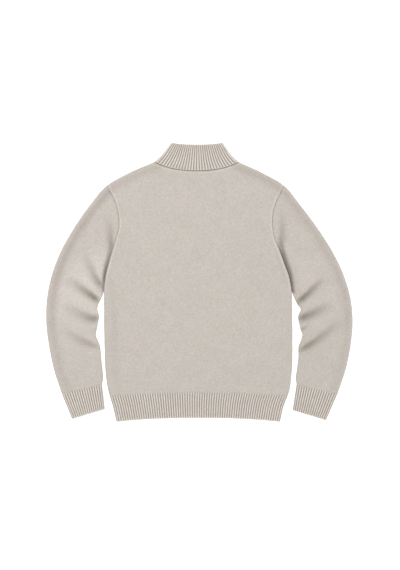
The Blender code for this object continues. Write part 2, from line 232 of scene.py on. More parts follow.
def cloth_lengths(width, folds):
    """Fine plan positions over a width, and the length of cloth up to each, where marked ends fold over."""
    position = np.linspace(0, width, FINE_POINTS)
    height = np.zeros_like(position)
    for folded, away in zip(folds, (position, width - position)):
        if folded:
            height -= FOLD_HEIGHT * (1 - fold_rise(away))
    return position, lengths_along(np.stack([position, height], axis=1))


def graded(width, step, folds=(False, False)):
    """Shares of a width at which grid lines lie: the steps of cloth grow from both ends up to step."""
    position, cloth = cloth_lengths(width, folds)
    spacing = np.minimum(step, EDGE_STEP + STEP_GROWTH * np.minimum(cloth, cloth[-1] - cloth))
    lines = np.concatenate([[0], np.cumsum(np.diff(cloth) / ((spacing[1:] + spacing[:-1]) / 2))])
    wanted = np.linspace(0, lines[-1], math.ceil(lines[-1]) + 1)
    return np.interp(wanted, lines, position) / width


def even(width, count, folds):
    """Shares of a width at which count steps lie: the mean of equal steps of cloth and of plan."""
    position, cloth = cloth_lengths(width, folds)
    by_cloth = np.interp(np.linspace(0, cloth[-1], count + 1), cloth, position) / width
    return (by_cloth + np.linspace(0, 1, count + 1)) / 2


def within(shares, near, far=0.0):
    """Shares moved to leave out a share of the whole at the near and at the far end."""
    return near + shares * (1 - near - far)


def chained(parts):
    """Shares of a width that is made of parts, each given as its own width and shares."""
    total = sum(width for width, _ in parts)
    start, shares = 0, []
    for width, own in parts:
        shares.append((start + width * own[:-1]) / total)
        start += width
    return np.concatenate([*shares, [1.0]])


# --- The garment's edges in plan ---


def top_fold(side):
    """The folded edge from the cuff seam over the shoulder point to the neck, as its sleeve and its
    shoulder part, which share one smooth curve."""
    whole = curve(SLEEVE_OUTER + SHOULDER[1:], side)
    shoulder_point = (len(SLEEVE_OUTER) - 1) * CURVE_STEPS
    return whole[: shoulder_point + 1], whole[shoulder_point:]


ARCH_POWER = 2.4


def arch(level, rise):
    """An edge's y as a function of x: it is the level's at the two ends and rises by rise in the middle,
    by 1 less a power of the distance from the middle over the half width."""
    middle, half = (level.left + level.right) / 2, (level.right - level.left) / 2
    return lambda x: level.y + rise * (1 - np.minimum(np.abs((x - middle) / half), 1) ** ARCH_POWER)


hem_edge = arch(HEM_SIDES[0], 0.0104)
hem_seam = arch(BODY_SIDES[0], 0.0096)
back_neck = arch(COLLAR_SIDES[0], -0.0228)
front_neck = arch(COLLAR_SIDES[0], -0.085)
back_collar_top = arch(COLLAR_SIDES[-1], -0.0046)
front_collar_top = arch(COLLAR_SIDES[-1], -0.067)


def shifted(edge, rise):
    """An edge moved up by rise, or down where it is negative."""
    return lambda x: edge(x) + rise


def body_top(neckline):
    """A body panel's upper edge as a function of x: a neckline between the two shoulder folds."""
    left, right = (top_fold(side)[1][:: -OUTWARD[side]].T for side in SIDES)
    neck = COLLAR_SIDES[0]

    def edge(x):
        beside = np.where(x < 0, np.interp(x, *left), np.interp(x, *right)) - FOLD_TRIM
        in_neck = (x > neck.left) & (x < neck.right)
        return np.where(in_neck, np.minimum(neckline(x) - SEAM_RIM, beside.max()), beside)

    return edge


def edge_points(x_start, x_end, shares, edge):
    """Points along an edge whose y is a function of x."""
    x = x_start + shares * (x_end - x_start)
    return np.stack([x, edge(x)], axis=1)


def strip(left, right, edges, across, along):
    """A patch between two side lines and a lower and an upper edge, each a function of x."""
    low, high = (edge_points(left[end, 0], right[end, 0], across, edge) for end, edge in zip((0, -1), edges))
    return patch(low, high, at_shares(left, along), at_shares(right, along), across, along)


def from_centre_front(side, distance):
    """The x at a distance from the centre front."""
    return CENTRE_FRONT + OUTWARD[side] * distance


UNDERARM_BLEND = 0.004  # how far from the underarm the inset of a fold turns into that of a seam


def body_edge(side, step):
    """One edge of the body's panels: up the side fold to the underarm, and up the armhole seam, moved in
    by what the rounded edge needs."""
    lengths = [lengths_along(curve(levels, "left"))[-1] for levels in (BODY_SIDES, ARMHOLE)]
    rows = [graded(length, step) for length in lengths]
    fold, seam = (at_shares(curve(levels, side), own) for levels, own in zip((BODY_SIDES, ARMHOLE), rows))
    along = chained(list(zip(lengths, rows)))
    blend = lengths[0] - UNDERARM_BLEND, lengths[0] + UNDERARM_BLEND
    inset = FOLD_TRIM + (SEAM_RIM - FOLD_TRIM) * faded(along * sum(lengths), *blend)
    return moved_aside(np.vstack([fold, seam[1:]]), OUTWARD[side] * inset), along


def panel_edges(neckline):
    """A body panel's lower and upper edge, each a function of x."""
    return shifted(hem_seam, SEAM_RIM), body_top(neckline)


def panel(near, far, edges, widths, step, along):
    """A body panel's plan points between two side lines, whose ends it moves to the corners, and a lower
    and an upper edge. The grid across it is graded over each of its widths."""
    across = chained([(width, graded(width, step)) for width in widths])
    low, high = (edge_points(near[end, 0], far[end, 0], across, edge) for end, edge in zip((0, -1), edges))
    near[0], near[-1], far[0], far[-1] = low[0], high[0], low[-1], high[-1]
    return patch(low, high, near, far, across, along)


def tube(near, far, shares):
    """Plan points round a flattened tube, over its upper layer from the near to the far edge and back
    under it, and which of their columns are in the upper layer."""
    upper = near[:, None] + shares[None, :, None] * (far - near)[:, None]
    points = np.concatenate([upper, upper[:, -2::-1]], axis=1)
    return points, np.arange(points.shape[1]) < len(shares)


# --- Heights ---

Bump = namedtuple("Bump", "height at width")


def bell(distance, width):
    """A bump of height 1 at distance 0: e to the minus square of distance over width."""
    return np.exp(-((distance / width) ** 2))


def bumps(distance, *shapes):
    """The sum of some bells, each round the distance at which it is highest."""
    return sum(shape.height * bell(distance - shape.at, shape.width) for shape in shapes)


def faded(value, low, high):
    """A smooth step from 0 at low to 1 at high."""
    share = np.clip((value - low) / (high - low), 0, 1)
    return share * share * (3 - 2 * share)


def plateau(value, low, full, still_full, high):
    """A smooth step up from low to full, times one down from still_full to high."""
    return faded(value, low, full) * (1 - faded(value, still_full, high))


def not_below(height, lowest, blend=0.0008):
    """A height that is smoothly kept from going below a lowest one: a branch of a hyperbola."""
    over = height - lowest
    return lowest + (over + np.sqrt(over**2 + blend**2)) / 2


def upper_layer(distance, crown):
    """The outer surface of the upper layer: it rounds over from the fold's height to its crown."""
    return FOLD_HEIGHT + (crown - FOLD_HEIGHT) * fold_rise(distance)


def lower_layer(distance, lift=0.0):
    """The outer surface of the lower layer: it lies at 0, apart from its lift, and rises at a fold."""
    rounded = fold_rise(distance)
    return FOLD_HEIGHT * (1 - rounded) + lift * rounded


def layered(points, is_upper, distance, crown, lift=0.0):
    """Points in space on the outer sides of the two layers, by the distance from the nearest fold."""
    return raised(points, np.where(is_upper, upper_layer(distance, crown), lower_layer(distance, lift)))


Wave = namedtuple("Wave", "length angle height phase")
WAVES = [
    Wave(0.210, 0.35, 0.00030, 0.4),
    Wave(0.150, 2.05, 0.00026, 1.9),
    Wave(0.096, 1.10, 0.00018, 4.1),
    Wave(0.071, 2.75, 0.00014, 2.6),
]


def waves(points):
    """Faint unevenness of cloth that was smoothed by hand: the sum of a few long sine waves."""
    total = np.zeros(points.shape[:-1])
    for wave in WAVES:
        along = points @ np.array([math.cos(wave.angle), math.sin(wave.angle)])
        total += wave.height * np.sin(2 * math.pi * along / wave.length + wave.phase)
    return total


# Creases run from the inner edge of a sleeve outwards, as a line through three points. The last number
# says how dark the painted shade in their troughs is.
Crease = namedtuple("Crease", "near middle far height near_width far_width pressed", defaults=(0.0,))
CREASES = [
    Crease((-0.262, -0.012), (-0.284, 0.021), (-0.311, 0.080), -0.0064, 0.0090, 0.015, 0.68),
    Crease((-0.272, -0.050), (-0.303, -0.027), (-0.358, 0.013), -0.0088, 0.0085, 0.015, 0.95),
    Crease((-0.272, -0.098), (-0.304, -0.0935), (-0.368, -0.060), -0.0078, 0.0095, 0.017, 0.70),
    Crease((-0.279, -0.175), (-0.323, -0.155), (-0.380, -0.124), -0.0060, 0.0090, 0.016, 0.36),
    Crease((-0.237, 0.095), (-0.239, 0.125), (-0.242, 0.180), -0.0046, 0.0080, 0.012, 0.45),
    Crease((0.265, -0.054), (0.2985, -0.024), (0.338, 0.017), -0.0080, 0.0080, 0.012, 0.80),
    Crease((0.268, -0.099), (0.302, -0.085), (0.362, -0.056), -0.0088, 0.0095, 0.016, 0.74),
    Crease((0.274, -0.129), (0.283, -0.123), (0.296, -0.115), -0.0034, 0.0040, 0.007, 0.40),
    Crease((0.272, -0.184), (0.319, -0.153), (0.388, -0.098), -0.0072, 0.0075, 0.016, 0.62),
    Crease((0.220, 0.100), (0.221, 0.140), (0.222, 0.190), -0.0046, 0.0080, 0.012, 0.40),
]
HIDDEN_CREASES = [  # in the lower layer
    Crease((-0.262, -0.030), (-0.292, -0.010), (-0.326, 0.012), 0.0020, 0.007, 0.012),
    Crease((-0.268, -0.076), (-0.306, -0.055), (-0.342, -0.034), 0.0020, 0.007, 0.012),
    Crease((-0.272, -0.136), (-0.312, -0.118), (-0.350, -0.100), 0.0018, 0.008, 0.013),
    Crease((0.262, -0.074), (0.304, -0.050), (0.340, -0.028), 0.0020, 0.007, 0.012),
    Crease((0.270, -0.140), (0.316, -0.112), (0.358, -0.090), 0.0020, 0.008, 0.013),
    Crease((0.262, -0.206), (0.316, -0.184), (0.364, -0.162), 0.0016, 0.009, 0.014),
]
CREASE_POWER = 0.8  # of the quarter cosine along a crease
SHOULDER_SLOPE, CUFF_SLOPE = 0.80, 1.35  # a trough is steeper on the side of the shoulder
CREASE_SHADE_WIDTH = 0.80  # how wide the core of a crease's painted shade is against the whole of it
NEAR_CREASE_SHADE = 0.6  # how dark that painted shade is at the sleeve's edge, against where it is darkest
CREASE_SHADE_PEAK = 0.18  # where that is, as a share of its length


def creased(points, side, creases):
    """The height of one side's creases, and the painted shade in their troughs. Each crease is
    a bell across its line, which widens outwards, times a power of a quarter cosine along it."""
    height, pressed = np.zeros(points.shape[:-1]), np.zeros(points.shape[:-1])
    for crease in creases:
        if crease.near[0] * OUTWARD[side] < 0:
            continue
        away, share, left = nearest_on(smooth(np.array(crease[:3])), points)
        width = crease.near_width + share * (crease.far_width - crease.near_width)
        width = width * np.where(left * OUTWARD[side] > 0, SHOULDER_SLOPE, CUFF_SLOPE)
        along = np.cos(share * math.pi / 2)
        height += crease.height * along**CREASE_POWER * bell(away, width)
        opening = NEAR_CREASE_SHADE + (1 - NEAR_CREASE_SHADE) * faded(share, 0.0, CREASE_SHADE_PEAK)
        pressed += crease.pressed * opening * along * bell(away, CREASE_SHADE_WIDTH * width)
    return height, pressed


# A folded edge holds its layers apart, so the cloth swells beside it.
BODY_SWELL = Bump(0.0020, 0.012, 0.018)
SLEEVE_SWELL = Bump(0.0018, 0.008, 0.010), Bump(-0.0014, 0.020, 0.009)
RIB_SWELL = Bump(0.0010, 0.008, 0.010)
# Seams lie in a hollow, with a ridge beside it. Those of the armhole flatten at the shoulder point.
BACK_SEAM_RELIEF = Bump(0.0006, 0.0045, 0.0026), Bump(-0.0009, 0.0, 0.0016)
SLEEVE_SEAM_RELIEF = Bump(0.0003, 0.0045, 0.0026), Bump(-0.0009, 0.0, 0.0016)
NECK_RELIEF = Bump(0.0012, 0.0056, 0.0024), Bump(-0.0018, 0.0, 0.0020)
COLLAR_SEAM_RELIEF = Bump(-0.0014, 0.0, 0.0016)
RELIEF_LOST = 0.7
RELIEF_LOST_LEVELS = (0.225, 0.250)
# At the underarm the sleeve dives under the body's edge, which stands up there.
CREVICE = (0.060, 0.132)  # the levels between which that ends
BODY_LIP = Bump(0.0040, 0.0050, 0.0080)
LIP_LEVELS = (-0.025, 0.020)  # the levels between which it begins on the body
LOWEST = 0.0066  # how low a crease may bring a sleeve's upper layer
UNDER_EDGE = 0.0048  # how low it goes at the armhole
NEAR_DIVE, FAR_DIVE = 0.006, 0.013  # the widths over which it goes down
# A sleeve is fuller where it creases inside the elbow.
FULLNESS = 0.0060
FULL_LEVELS = (-0.215, -0.150, 0.010, 0.085)
FULL_WIDTHS = (0.0, 0.026, 0.035, 0.100)  # from the sleeve's inner edge

# Painted shade, from 0 to 1, in place of the shade in creases, crevices and seams and beside folds: the
# colour is darker where it is higher, and lighter, as painted highlight, where it falls below the base.
BASE_SHADE = 0.24
# Painted shade in the hollow of each armhole seam, and a painted highlight on the ridge beside it, partly
# lost near the shoulder point.
SEAM_TONE = Bump(0.30, 0.0, 0.0014), Bump(-0.18, 0.0042, 0.0020)
SEAM_TONE_LOST = 0.25
SEAM_TONE_LOST_LEVELS = (0.228, 0.252)
# Painted shadow at the neckline, under the collar's edge, and a painted highlight on the welt below it.
NECK_TONE = Bump(1.0, 0.0, 0.0022), Bump(-0.20, 0.0058, 0.0022)
# A painted highlight on the rim of each side fold.
SIDE_RIM = Bump(-0.08, 0.0, 0.0030)
# Bands of painted shade beside the folded edges, by their distance from the fold.
SIDE_BANDS = {"left": Bump(0.07, 0.027, 0.010), "right": Bump(0.0, 0.025, 0.012)}
SHOULDER_BANDS = {"left": Bump(0.14, 0.016, 0.010), "right": Bump(0.18, 0.014, 0.010)}
SLEEVE_BANDS = {"left": Bump(0.24, 0.018, 0.010), "right": Bump(0.13, 0.016, 0.013)}
FOREARM_SHARE = 0.55  # how much of a sleeve's band is left near its cuff
FOREARM_LEVELS = (-0.20, 0.02)
# Painted light where a sleeve is full inside the elbow: its colour is lighter there.
ELBOW_LIGHT = {"left": 0.18, "right": 0.03}
ELBOW_LIGHT_LEVELS = (-0.240, 0.000, 0.050, 0.125)
ELBOW_LIGHT_WIDTHS = (0.080, 0.135)
# Painted shadow in the crevice beside the armhole: how far from the seam, between which levels that ends
# and how much less it is at the underarm.
CreviceShade = namedtuple("CreviceShade", "reach levels less_below")
CREVICE_SHADES = {"left": CreviceShade(0.0085, (0.030, 0.125), 0.60), "right": CreviceShade(0.0115, CREVICE, 0.10)}
CREVICE_SHADE_TONE = 0.85
CREVICE_SHADE_CORE = 0.0035
CREVICE_SHADE_WIDER = Bump(0.0070, 0.055, 0.038)  # how much further it reaches at a level
CREVICE_SHADE_DRIFT = 0.010  # how far its middle moves away from the seam above
CREVICE_SHADE_DRIFT_LEVELS = (0.055, 0.115)
UNDERARM_LEVELS = (-0.014, 0.014)


def body_fold_distance(points):
    """The distance from the nearest side or shoulder fold of the body."""
    folds = [fold for side in SIDES for fold in (curve(BODY_SIDES, side), top_fold(side)[1])]
    return np.min([distance_to(fold, points) for fold in folds], axis=0)


def armhole_distance(points):
    """The distance from the nearest armhole seam."""
    return np.minimum(*(distance_to(curve(ARMHOLE, side), points) for side in SIDES))


def crevice(points):
    """How deep the sleeve dives under the body's edge at a level, from 1 at the underarm to 0."""
    return 1 - faded(points[..., 1], *CREVICE)


def seam_relief(points, distance, shapes):
    """The hollow and the ridge of an armhole seam, less a share of them near the shoulder point."""
    return bumps(distance, *shapes) * (1 - RELIEF_LOST * faded(points[..., 1], *RELIEF_LOST_LEVELS))


def below_neck(points):
    """How far points lie below the neckline, or a metre where there is none above them."""
    x, neck, margin = points[..., 0], COLLAR_SIDES[0], 0.002
    under = (x > neck.left - margin) & (x < neck.right + margin)
    return np.where(under, back_neck(x) - points[..., 1], 1.0)


def back_painted_shade(points):
    """The back's painted shade and highlights: the sum of the tones along its seams and folds."""
    lost = SEAM_TONE_LOST * faded(points[..., 1], *SEAM_TONE_LOST_LEVELS)
    tone = BASE_SHADE + bumps(armhole_distance(points), *SEAM_TONE) * (1 - lost)
    tone += bumps(below_neck(points), *NECK_TONE)
    for side in SIDES:
        tone += bumps(distance_to(curve(BODY_SIDES, side), points), SIDE_BANDS[side], SIDE_RIM)
        tone += bumps(distance_to(top_fold(side)[1], points), SHOULDER_BANDS[side])
    return np.clip(tone, 0, 1)


def back_crown(points, fold):
    """The back's height away from its folds: even, but for its waves, the swell beside the folds, the lip
    over each crevice and the relief along the seams."""
    seam = armhole_distance(points)
    crown = BODY_HEIGHT + bumps(fold, BODY_SWELL) + waves(points)
    crown += crevice(points) * faded(points[..., 1], *LIP_LEVELS) * bumps(seam, BODY_LIP)
    return crown + seam_relief(points, seam, BACK_SEAM_RELIEF) + bumps(below_neck(points), *NECK_RELIEF)


def sleeve_crown(points, fold, seam, inward, crease):
    """A sleeve's height away from its folds: even, but for its waves, the swell beside the folds, its
    fullness inside the elbow, its creases, the dive into the crevice and the relief along the seam."""
    crown = SLEEVE_HEIGHT + bumps(fold, *SLEEVE_SWELL) + waves(points)
    crown += FULLNESS * plateau(points[..., 1], *FULL_LEVELS) * plateau(inward, *FULL_WIDTHS)
    crown = not_below(crown + crease, LOWEST)
    crown -= crevice(points) * (LOWEST - UNDER_EDGE) * bell(seam, NEAR_DIVE)
    crown -= crevice(points) * (crown - LOWEST) * bell(seam, FAR_DIVE)
    return crown + seam_relief(points, seam, SLEEVE_SEAM_RELIEF)


def sleeve_painted_shade(points, side, outer, seam, inward, creased_tone):
    """A sleeve's painted shade: in its creases, in the crevice beside the armhole and along
    its outer fold, less where it is painted lighter inside the elbow."""
    level, shaded = points[..., 1], CREVICE_SHADES[side]
    forearm = FOREARM_SHARE + (1 - FOREARM_SHARE) * faded(level, *FOREARM_LEVELS)
    band = bumps(distance_to(outer, points), SLEEVE_BANDS[side]) * forearm
    middle = CREVICE_SHADE_DRIFT * faded(level, *CREVICE_SHADE_DRIFT_LEVELS)
    reach = shaded.reach + bumps(level, CREVICE_SHADE_WIDER) - middle / 2
    beside_seam = 1 - faded(np.abs(seam - middle), CREVICE_SHADE_CORE, reach)
    beside_seam *= 1 - faded(level, *shaded.levels)
    beside_seam *= 1 - shaded.less_below * (1 - faded(level, *UNDERARM_LEVELS))
    lightened = ELBOW_LIGHT[side] * plateau(level, *ELBOW_LIGHT_LEVELS) * (1 - faded(inward, *ELBOW_LIGHT_WIDTHS))
    return np.clip(BASE_SHADE - lightened + creased_tone + band + CREVICE_SHADE_TONE * beside_seam, 0, 1)


# --- Ribs ---

RIB_WIDTH = 0.0064  # of cloth
RIB_POWER = 1.4  # a valley is narrower than a crest
RIB_COLUMNS = {"cuff": 10, "hem_rib": 8, "collar": 10, "front_band": 8}  # grid columns to a rib
BAND_RIBS = 4
SEAM_FADE = 0.0016  # the length over which ribs end at the seam
EDGE_FADE = 0.0042  # the same at a free edge, where a share of their depth is left
EDGE_SHARE = 0.15
SIDE_FADE = {"hem_rib": 0.0025, "collar": 0.0075, "cuff": 0.0025}  # the same across a folded edge
SIDE_SHARE = 0.35


def rib_fade(name, from_seam, from_edge, from_fold):
    """How deep the ribs are against their full depth: smooth steps away from the seam, the free edge and
    the folded edges."""
    at_edge = EDGE_SHARE + (1 - EDGE_SHARE) * faded(from_edge, 0.0, EDGE_FADE)
    at_fold = SIDE_SHARE + (1 - SIDE_SHARE) * faded(from_fold, 0.0, SIDE_FADE[name])
    return faded(from_seam, 0.0, SEAM_FADE) * at_edge * at_fold


def rib_dips(name, shape, fade=1.0):
    """Where the outer and the inner side of a rib are sunk, from 0 to 1, which is also the painted shade in
    their valleys: a power of a cosine, half a rib apart on the two sides. Where the rib fades out, the cloth
    runs level with its crests, and the inner side's painted shade fades out too."""
    phase = 2 * math.pi * np.arange(shape[1]) / RIB_COLUMNS[name]
    outer, inner = (((1 - turn * np.cos(phase)) / 2) ** RIB_POWER for turn in (1, -1))
    fade = np.broadcast_to(fade, shape)
    return {"valley": outer * fade, "inner_valley": 1 - (1 - inner) * fade, "inner_tone": inner * fade}


# --- Materials ---

# A wale and a course of this knitting, and the depth between its legs of yarn. The real ones are finer,
# and are drawn as coarse as they need to be to show.
WALE, COURSE, STITCH_DEPTH = 0.0032, 0.0023, 0.0004
LEG_LEAN = 1.1
SWELL = 0.3  # how much of a leg's height comes and goes along it
HOLLOW_SHADE = (0.0, 0.8, 0.94, 1.02)  # a least and a most height, and the tone at each: the hollows between the legs are painted darker, as shade
# Noise patterns as their number to a metre, roughness, least and most tone. Real flecks are the fibres
# themselves, so these, 4 mm wide, are coarse enough to show.
FLECKS = (260.0, 0.65, 0.88, 1.12)
PATCHES = (30.0, 0.5, 0.98, 1.02)
NOISE_RANGE = (0.3, 0.7)  # the values of noise between which the tone goes from least to most
TINTS_SCALE, TINTS_RANGE, FUZZ_SCALE = 21.0, (0.35, 0.65), 900.0
FUZZ_SHARE = 0.35  # of the depth between the legs
# The yarn's fibres are of two tints, which aren't mixed quite evenly.
ROSE_TINT = (1.009, 0.997, 1.009, 1.0)
STRAW_TINT = (0.998, 1.001, 0.985, 1.0)


def srgb(code):
    """A hex colour as linear red, green, blue and alpha."""
    values = np.array([int(code[at : at + 2], 16) for at in (1, 3, 5)]) / 255
    linear = np.where(values <= 0.04045, values / 12.92, ((values + 0.055) / 1.055) ** 2.4)
    return (*linear.tolist(), 1.0)


def set_inputs(tree, node, inputs):
    """Gives a node's inputs, in order or by name, values or links from other nodes' outputs."""
    for key, value in inputs.items() if isinstance(inputs, dict) else enumerate(inputs):
        if isinstance(value, bpy.types.NodeSocket):
            tree.links.new(value, node.inputs[key])
        else:
            node.inputs[key].default_value = value


def add(tree, kind, inputs=(), output=0, **settings):
    """Adds a node and returns one of its outputs."""
    node = tree.nodes.new("ShaderNode" + kind)
    for key, value in settings.items():
        setattr(node, key, value)
    set_inputs(tree, node, inputs)
    return node.outputs[output]


def stitches(tree):
    """Plain knitting as a height from 0 to 1. Each wale holds two legs of yarn, a sine across the half
    wale, which lean outwards as they rise and swell once in every course."""
    cloth = add(tree, "UVMap", uv_map="cloth")
    cloth = add(tree, "VectorMath", (cloth, (WALE, COURSE, 1.0)), operation="DIVIDE")
    across, along = (add(tree, "SeparateXYZ", (cloth,), axis) for axis in "XY")
    half_wale = add(tree, "Math", (across, 0.5), operation="PINGPONG")
    turn = add(tree, "Math", (half_wale, 2 * math.pi), operation="MULTIPLY")
    leg = add(tree, "Math", (turn,), operation="SINE")
    lean = add(tree, "Math", (half_wale, LEG_LEAN, along), operation="MULTIPLY_ADD")
    turn = add(tree, "Math", (lean, 2 * math.pi), operation="MULTIPLY")
    swell = add(tree, "Math", (turn,), operation="COSINE")
    swell = add(tree, "Math", (swell, SWELL, 1 - SWELL), operation="MULTIPLY_ADD")
    return add(tree, "Math", (leg, swell), operation="MULTIPLY")


def wool(name, crest, valley):
    """Knitted lambswool, soft and matt: no gloss, a faint sheen from its loose fibres, a heathered yarn.
    It goes from the crest's colour to the valley's, a painted shade, where the attribute "valley" goes from 0
    to 1."""
    if name in bpy.data.materials:
        return bpy.data.materials[name]
    made = bpy.data.materials.new(name)
    made.use_nodes = True
    tree = made.node_tree
    place = add(tree, "TexCoord", output="Object")
    height = stitches(tree)

    # The hollows between the legs of yarn are painted darker, as shade. The yarn is spun from lighter and
    # darker fibres, so its colour varies from stitch to stitch.
    tone = add(tree, "MapRange", (height, *HOLLOW_SHADE))
    for scale, rough, least, most in (FLECKS, PATCHES):
        noise = add(tree, "TexNoise", {"Vector": place, "Scale": scale, "Detail": 3.0, "Roughness": rough})
        noise = add(tree, "MapRange", (noise, *NOISE_RANGE, least, most))
        tone = add(tree, "Math", (tone, noise), operation="MULTIPLY")
    dip = add(tree, "Attribute", output="Fac", attribute_name="valley")
    colour = add(tree, "Mix", {0: dip, 6: tuple(crest), 7: tuple(valley)}, 2, data_type="RGBA")
    colour = add(tree, "VectorMath", {0: colour, "Scale": tone}, operation="SCALE")
    tints = add(tree, "TexNoise", {"Vector": place, "Scale": TINTS_SCALE, "Detail": 2.0})
    tints = add(tree, "MapRange", (tints, *TINTS_RANGE))
    tint = add(tree, "Mix", {0: tints, 6: ROSE_TINT, 7: STRAW_TINT}, 2, data_type="RGBA")
    colour = add(tree, "VectorMath", (colour, tint), operation="MULTIPLY")

    fuzz = add(tree, "TexNoise", {"Vector": place, "Scale": FUZZ_SCALE, "Detail": 3.0, "Roughness": 0.6})
    relief = add(tree, "Math", (fuzz, FUZZ_SHARE, height), operation="MULTIPLY_ADD")
    bump = add(tree, "Bump", {"Height": relief, "Strength": 0.5, "Distance": STITCH_DEPTH})
    shader = {"Base Color": colour, "Normal": bump, "Roughness": 0.95, "Specular IOR Level": 0.15}
    shader |= {"Sheen Weight": 0.12, "Sheen Roughness": 0.6}
    set_inputs(tree, tree.nodes["Principled BSDF"], shader)
    return made


Knitting = namedtuple("Knitting", "slot wall depth finish")


def plain_knit(context):
    """Plain knitting, painted darker as shade in its creases, in the crevice and beside its folds and seams.
    """
    sizes, colours = context.scene.cardigan_sizes, context.scene.cardigan_colours
    finish = wool("lambswool plain knit", colours.knit, colours.knit_shade)
    return Knitting("plain_knit", sizes.knit_wall, 0.0, finish)


def rib_knit(context):
    """The same yarn in a narrow rib, whose valleys are sunk and painted darker, as shade, and whose crests
    are painted lighter than the plain knit, as highlight.
    """
    sizes, colours = context.scene.cardigan_sizes, context.scene.cardigan_colours
    finish = wool("lambswool rib", colours.rib, colours.rib_valley_shade)
    return Knitting("rib_knit", sizes.rib_wall, sizes.rib_depth, finish)


def rim_of(knitting):
    """How far a rib's free edge stands out past its last grid line: half its wall in a valley."""
    return (knitting.wall - knitting.depth) / 2


# --- Meshes ---


def raised(points, height):
    """Plan points and their heights as points in space."""
    return np.concatenate([points, np.broadcast_to(height, points.shape[:-1])[..., None]], axis=-1)


def surface_area(grid):
    """Half the sum of the cross products of the diagonals of a grid's faces."""
    first, second = grid[1:, 1:] - grid[:-1, :-1], grid[1:, :-1] - grid[:-1, 1:]
    return float(np.linalg.norm(np.cross(first, second), axis=-1).sum() / 2)


def vertex_normals(points, faces):
    """Unit normals: the sum of the cross products of the diagonals of the faces round each vertex."""
    a, b, c, d = (points[faces[:, corner]] for corner in range(4))
    cross = np.cross(c - a, d - b)
    total = np.zeros_like(points)
    for corner in range(4):
        np.add.at(total, faces[:, corner], cross)
    return unit(total)


def edge_loops(raw, closed_rows):
    """The loops of open edges round a grid of vertex numbers, where the first closed_rows rows are closed."""
    if not closed_rows:
        return [np.concatenate([raw[0, :-1], raw[:-1, -1], raw[-1, :0:-1], raw[:0:-1, 0]])]
    mouth = np.concatenate([raw[closed_rows - 1 :, -1], raw[-1, -2:0:-1], raw[: closed_rows - 1 : -1, 0]])
    return [raw[0, :-1], mouth]


def shell(grid, uv, knitting, wall=None, closed_rows=0, free=False, valley=BASE_SHADE, inner_valley=0.0,
          inner_tone=None):
    """The points, faces, cloth coordinates and tones of a closed shell. Its outer side is the grid, sunk by
    the knitting's depth where valley is 1, which is also its tone. Its inner side lies a wall below the
    grid, raised by that depth where inner_valley is 1, and inner_tone is its tone. Round each loop of open
    edges the two are joined by half circles where the edge is free, and by flatter half ellipses where it
    is sewn. In the first closed_rows rows, the last column of a tube is its first one again."""
    rows, columns = grid.shape[:2]
    raw = np.arange(rows * columns).reshape(rows, columns)
    own = raw.copy()
    own[:closed_rows, -1] = raw[:closed_rows, 0]
    quads = np.stack([raw[:-1, :-1], raw[:-1, 1:], raw[1:, 1:], raw[1:, :-1]], axis=-1).reshape(-1, 4)
    used, vertex = np.unique(own, return_inverse=True)
    vertex = vertex.ravel()
    count = len(used)

    inner_tone = valley if inner_tone is None else inner_tone
    wall = knitting.wall if wall is None else wall
    dip, inner_dip, inner_tone, wall, free = (
        np.broadcast_to(values, (rows, columns)).ravel()[used]
        for values in (valley, inner_valley, inner_tone, wall, free)
    )
    base, faces = grid.reshape(-1, 3)[used], vertex[quads]
    normal = vertex_normals(base, faces)
    outer = base - normal * (knitting.depth * dip)[:, None]
    inner = base - normal * (wall - knitting.depth * inner_dip)[:, None]

    flat_uv = uv.reshape(-1, 2)
    points, tones = [outer, inner], [dip, inner_tone]
    all_faces, face_uv = [faces, faces[:, ::-1] + count], [flat_uv[quads], flat_uv[quads[:, ::-1]]]
    total = 2 * count
    for loop in edge_loops(raw, closed_rows):
        ring = vertex[loop]
        tangent = np.roll(base[ring], -1, axis=0) - np.roll(base[ring], 1, axis=0)
        outward = unit(np.cross(tangent, normal[ring]))
        middle, half = (outer[ring] + inner[ring]) / 2, (outer[ring] - inner[ring]) / 2
        radius = np.linalg.norm(half, axis=1)
        reach = np.where(free[ring], radius, np.minimum(radius, SEAM_RIM))[:, None]
        rings = [ring]
        for angle in RIM_ANGLES:
            points.append(middle + half * math.cos(angle) + outward * reach * math.sin(angle))
            share = (1 - math.cos(angle)) / 2
            tones.append((1 - share) * dip[ring] + share * inner_tone[ring])
            rings.append(np.arange(total, total + len(ring)))
            total += len(ring)
        rings.append(ring + count)
        here, there = flat_uv[loop], np.roll(flat_uv[loop], -1, axis=0)
        for near, far in zip(rings, rings[1:]):
            all_faces.append(np.stack([np.roll(near, -1), near, far, np.roll(far, -1)], axis=1))
            face_uv.append(np.stack([there, here, here, there], axis=1))
    return [np.concatenate(part) for part in (points, all_faces, face_uv, tones)]


def knitted(name, grid, uv, knitting, cut, rests_on=("floor",), **shape):
    """Adds one piece of knitting, a shell that is told the rest of its shape. Its cut and what it
    rests on are taken but not used."""
    points, faces, face_uv, tones = shell(grid, uv, knitting, **shape)
    mesh = bpy.data.meshes.new(f"knit_{name}")
    mesh.from_pydata(points.tolist(), [], faces.tolist(), shade_flat=False)
    mesh.uv_layers.new(name="cloth").data.foreach_set("uv", face_uv.astype(np.float32).ravel())
    mesh.attributes.new("valley", "FLOAT", "POINT").data.foreach_set("value", tones.astype(np.float32))
    mesh.materials.append(knitting.finish)
    mesh.update()
    piece = bpy.data.objects.new(mesh.name, mesh)
    bpy.context.scene.collection.objects.link(piece)
    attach(piece, "root")
    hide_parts(name)
    list(rests_on)
    round(surface_area(grid), 4)


# --- Settings ---


def length_setting(name, description, default):
    """A length in metres."""
    return bpy.props.FloatProperty(name=name, description=description, default=default, unit="LENGTH")


def count_setting(name, description, default):
    """A number of ribs."""
    return bpy.props.IntProperty(name=name, description=description, default=default)


